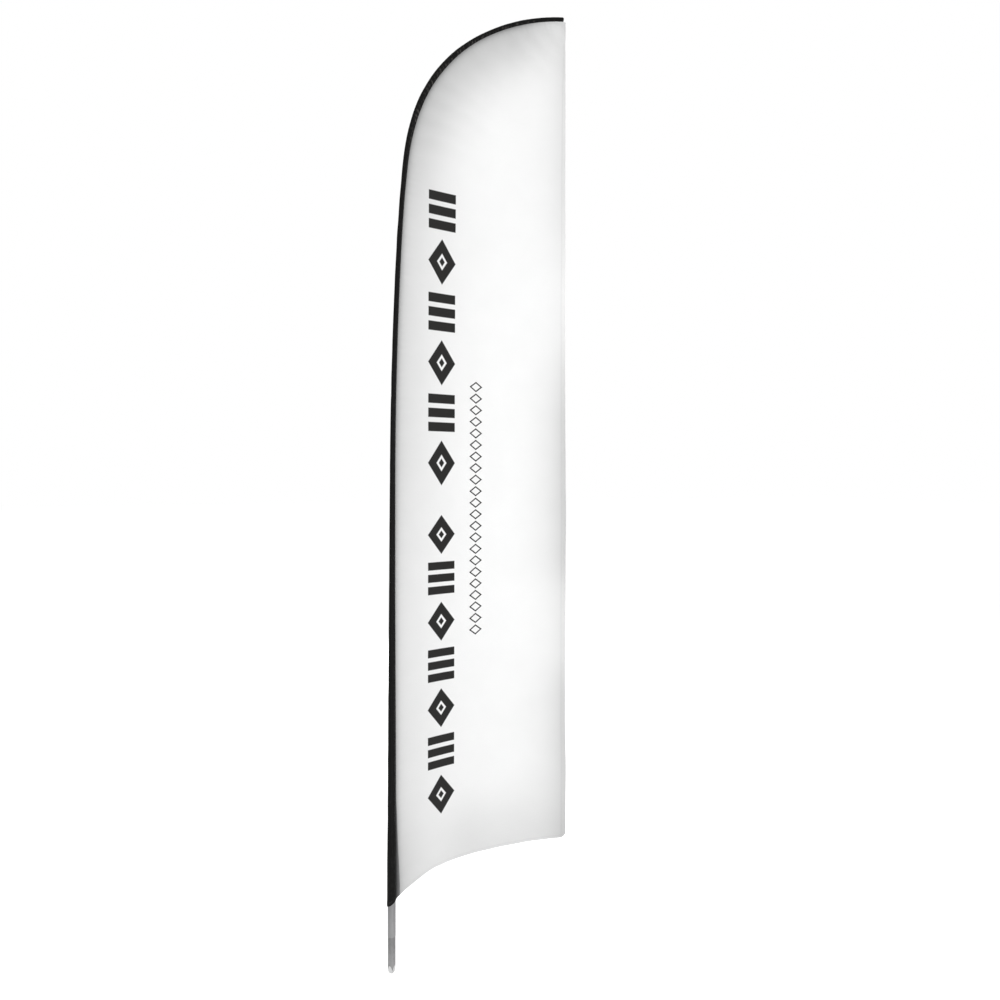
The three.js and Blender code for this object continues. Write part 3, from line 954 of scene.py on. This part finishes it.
def stitchesAlong(path, normals, lift):
    # path and normals are rows of points; one small bead of thread every pitch
    steps = np.linalg.norm(np.diff(path, axis=0), axis=1)
    travelled = np.concatenate([[0], np.cumsum(steps)])
    starts = np.arange(0, travelled[-1] - stitching["length"], stitching["pitch"])

    def sample(rows, at):
        return np.stack([np.interp(at, travelled, rows[:, axis]) for axis in range(3)], 1)

    first, last = sample(path, starts), sample(path, starts + stitching["length"])
    up = sample(normals, starts + stitching["length"] / 2)
    up /= np.linalg.norm(up, axis=1, keepdims=True)
    forward = last - first
    forward /= np.linalg.norm(forward, axis=1, keepdims=True)
    sideways = np.cross(forward, up)
    radius, sides = stitching["radius"], stitching["sides"]
    count = len(starts)
    points = [first + up * (lift - radius), last + up * (lift - radius)]
    for share in (0.2, 0.8):
        centre = first + (last - first) * share + up * lift
        for side in range(sides):
            angle = math.tau * side / sides
            points.append(centre + up * radius * math.cos(angle) + sideways * radius * math.sin(angle))
    points = np.stack(points, 1)
    pattern = []
    for side in range(sides):
        after = (side + 1) % sides
        pattern.append((0, 2 + after, 2 + side))
        pattern.append((1, 2 + sides + side, 2 + sides + after))
        pattern.append((2 + side, 2 + after, 2 + sides + after, 2 + sides + side))
    each = points.shape[1]
    faces = [
        tuple(corner + each * number for corner in face) for number in range(count) for face in pattern
    ]
    return points.reshape(-1, 3), faces


def joinRows(name, rows, material):
    points, faces, before = [], [], 0
    for rowPoints, rowFaces in rows:
        points.append(rowPoints)
        faces += [tuple(corner + before for corner in face) for face in rowFaces]
        before += len(rowPoints)
    return makeMesh(name, np.concatenate(points), faces, material)


def clothRow(share, along, side, lift):
    x, y, z = clothSurface(share, along)
    path = np.stack([x, y, z], 1)
    nudge = 0.002
    beside = np.stack(clothSurface(share - nudge / panel["meanWidth"], along), 1)
    above = np.stack(clothSurface(share, along + nudge), 1)
    normal = np.cross(above - path, beside - path)
    normal *= np.where(normal[:, 1:2] > 0, 1, -1) * side
    normal /= np.linalg.norm(normal, axis=1, keepdims=True)
    return stitchesAlong(path, normal, lift)


def hemStitches():
    width = panel["meanWidth"]
    half = panel["thickness"] / 2
    up = np.linspace(panel["hemLeft"] + 0.012, pole["end"] - 0.004, 2600)
    right = np.linspace(0.004, 1 - 0.013 / width, 700)
    rows = []
    for side, lift in ((-1, half), (1, half + panel["hemFold"])):
        rows.append(clothRow(np.full(len(up), 1 - panel["sideStitch"] / width), up, side, lift))
        atHem = np.full(len(right), panel["hemLeft"] + panel["bottomStitch"])
        rows.append(clothRow(right, atHem, side, lift))
    return joinRows("hemStitches", rows, thread("whiteThread", stitching["white"]))


def pocketStitches():
    rows = []
    along = np.linspace(pocket["mouth"] + 0.004, pole["end"] - 0.003, 3000)
    middle = sizeAt(pocket["halfWidths"], along) + sizeAt(pocket["edgeWidths"], along) / 2
    slant = 1 - smoothStep(along, pocket["mouth"], pocket["slantFades"])
    x, z = besidePole(along, middle)
    z = z + pocket["mouthSlope"] * x * slant
    for side in (-1, 1):
        y = edgeWave(along) + side * pocket["edgeThickness"] * 0.4
        normal = np.tile([0.0, side, 0.0], (len(along), 1))
        rows.append(stitchesAlong(np.stack([x, y, z], 1), normal, stitching["lift"]))
    # one row round the mouth's hem
    hemAlong = pocket["mouth"] + pocket["hemStitch"]
    towards, across, _ = pocketRing(hemAlong, False)
    ring = placePocketRing(hemAlong, towards, across)[3:-1]
    wide, deep = pocket["mouthOval"]
    normals = np.stack([towards / wide ** 2, across / deep ** 2, 0 * towards], 1)[3:-1]
    rows.append(stitchesAlong(ring, normals, stitching["lift"]))
    return joinRows("pocketStitches", rows, thread("greyThread", stitching["grey"]))


whiteRows = hemStitches()
greyRows = pocketStitches()
print("stitches made")


for piece, slot in ((clothPanel, "panel_cloth"), (pocketStrip, "pocket_cloth"), (whiteRows, "panel_cloth"),
                    (greyRows, "pocket_cloth")):
    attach(piece, "root")
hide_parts("panel")
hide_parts("pole_pocket")


studio = {
    "floorSide": 80.0,
    "floorColour": (0.93, 0.93, 0.93, 1),
    "floorGlow": 0.62,  # what the camera sees is lifted to white; the light that the floor gives back isn't
    "floorBounce": (0.78, 0.78, 0.78, 1),
    "ambient": 0.42,
    "keyPower": 156,
    "keySize": 2.4,
    "keyPlace": (-0.1, -5.0, 2.2),
    "keyAim": (0.32, 0.0, 1.7),
    "backPower": 120,
    "backSize": 2.5,
    "backPlace": (1.2, 4.5, 2.6),
}


def makeFloor():
    half = studio["floorSide"] / 2
    material, tree, shader = newMaterial("paleFloor", specular=0.2)
    place = addNode(tree, "ShaderNodeTexCoord")
    grain = noiseNode(tree, place.outputs["Object"], 3, 4)
    shade = ramp(tree, grain, 0.3, 0.7, 0.985, 1.0)
    seen = addNode(tree, "ShaderNodeLightPath").outputs["Is Camera Ray"]
    pale = tint(tree, studio["floorColour"], shade)
    tree.links.new(blendColours(tree, seen, studio["floorBounce"], pale), shader.inputs["Base Color"])
    tree.links.new(calc(tree, "MULTIPLY", seen, studio["floorGlow"]), shader.inputs["Emission Strength"])
    shader.inputs["Emission Color"].default_value = (1, 1, 1, 1)
    shader.inputs["Roughness"].default_value = 0.9
    corners = [(-half, -half, 0), (half, -half, 0), (half, half, 0), (-half, half, 0)]
    floor = makeMesh("studioFloor", corners, [(0, 1, 2, 3)], material)


def makeWorld():
    world = bpy.data.worlds.new("studioAir")
    bpy.context.scene.world = world
    world.use_nodes = True
    tree = world.node_tree
    background = tree.nodes["Background"]
    path = addNode(tree, "ShaderNodeLightPath")
    strength = addNode(tree, "ShaderNodeMapRange")
    tree.links.new(path.outputs["Is Camera Ray"], strength.inputs[0])
    strength.inputs[3].default_value = studio["ambient"]
    strength.inputs[4].default_value = 1.0
    background.inputs["Color"].default_value = (1, 1, 1, 1)
    tree.links.new(strength.outputs[0], background.inputs["Strength"])


def areaLight(name, place, aim, power, size):
    light = bpy.data.lights.new(name, "AREA")
    light.shape = "DISK"
    light.size = size
    light.energy = power
    lamp = bpy.data.objects.new(name, light)
    bpy.context.scene.collection.objects.link(lamp)
    lamp.location = place
    lamp.rotation_mode = "QUATERNION"
    lamp.rotation_quaternion = (Vector(aim) - Vector(place)).to_track_quat("-Z", "Y")


camera = {
    "place": (-0.4567, -2.2549, 1.5976),
    "turn": -20.175,
    "tilt": -0.313,
    "lens": 25.494,
    "sensor": 36.0,
    "drop": -0.02,
}


def makeCamera():
    lens = bpy.data.cameras.new("viewCamera")
    lens.lens = camera["lens"]
    lens.sensor_width = camera["sensor"]
    lens.shift_y = camera["drop"]
    lens.clip_end = 200
    viewer = bpy.data.objects.new("viewCamera", lens)
    bpy.context.scene.collection.objects.link(viewer)
    viewer.location = camera["place"]
    viewer.rotation_euler = (math.radians(90 + camera["tilt"]), 0, math.radians(camera["turn"]))
    bpy.context.scene.camera = viewer


makeFloor()
makeWorld()
areaLight("keyLight", studio["keyPlace"], studio["keyAim"], studio["keyPower"], studio["keySize"])
areaLight("backLight", studio["backPlace"], studio["keyAim"], studio["backPower"], studio["backSize"])
makeCamera()
bpy.context.scene.view_settings.view_transform = "Standard"
print("studio set")
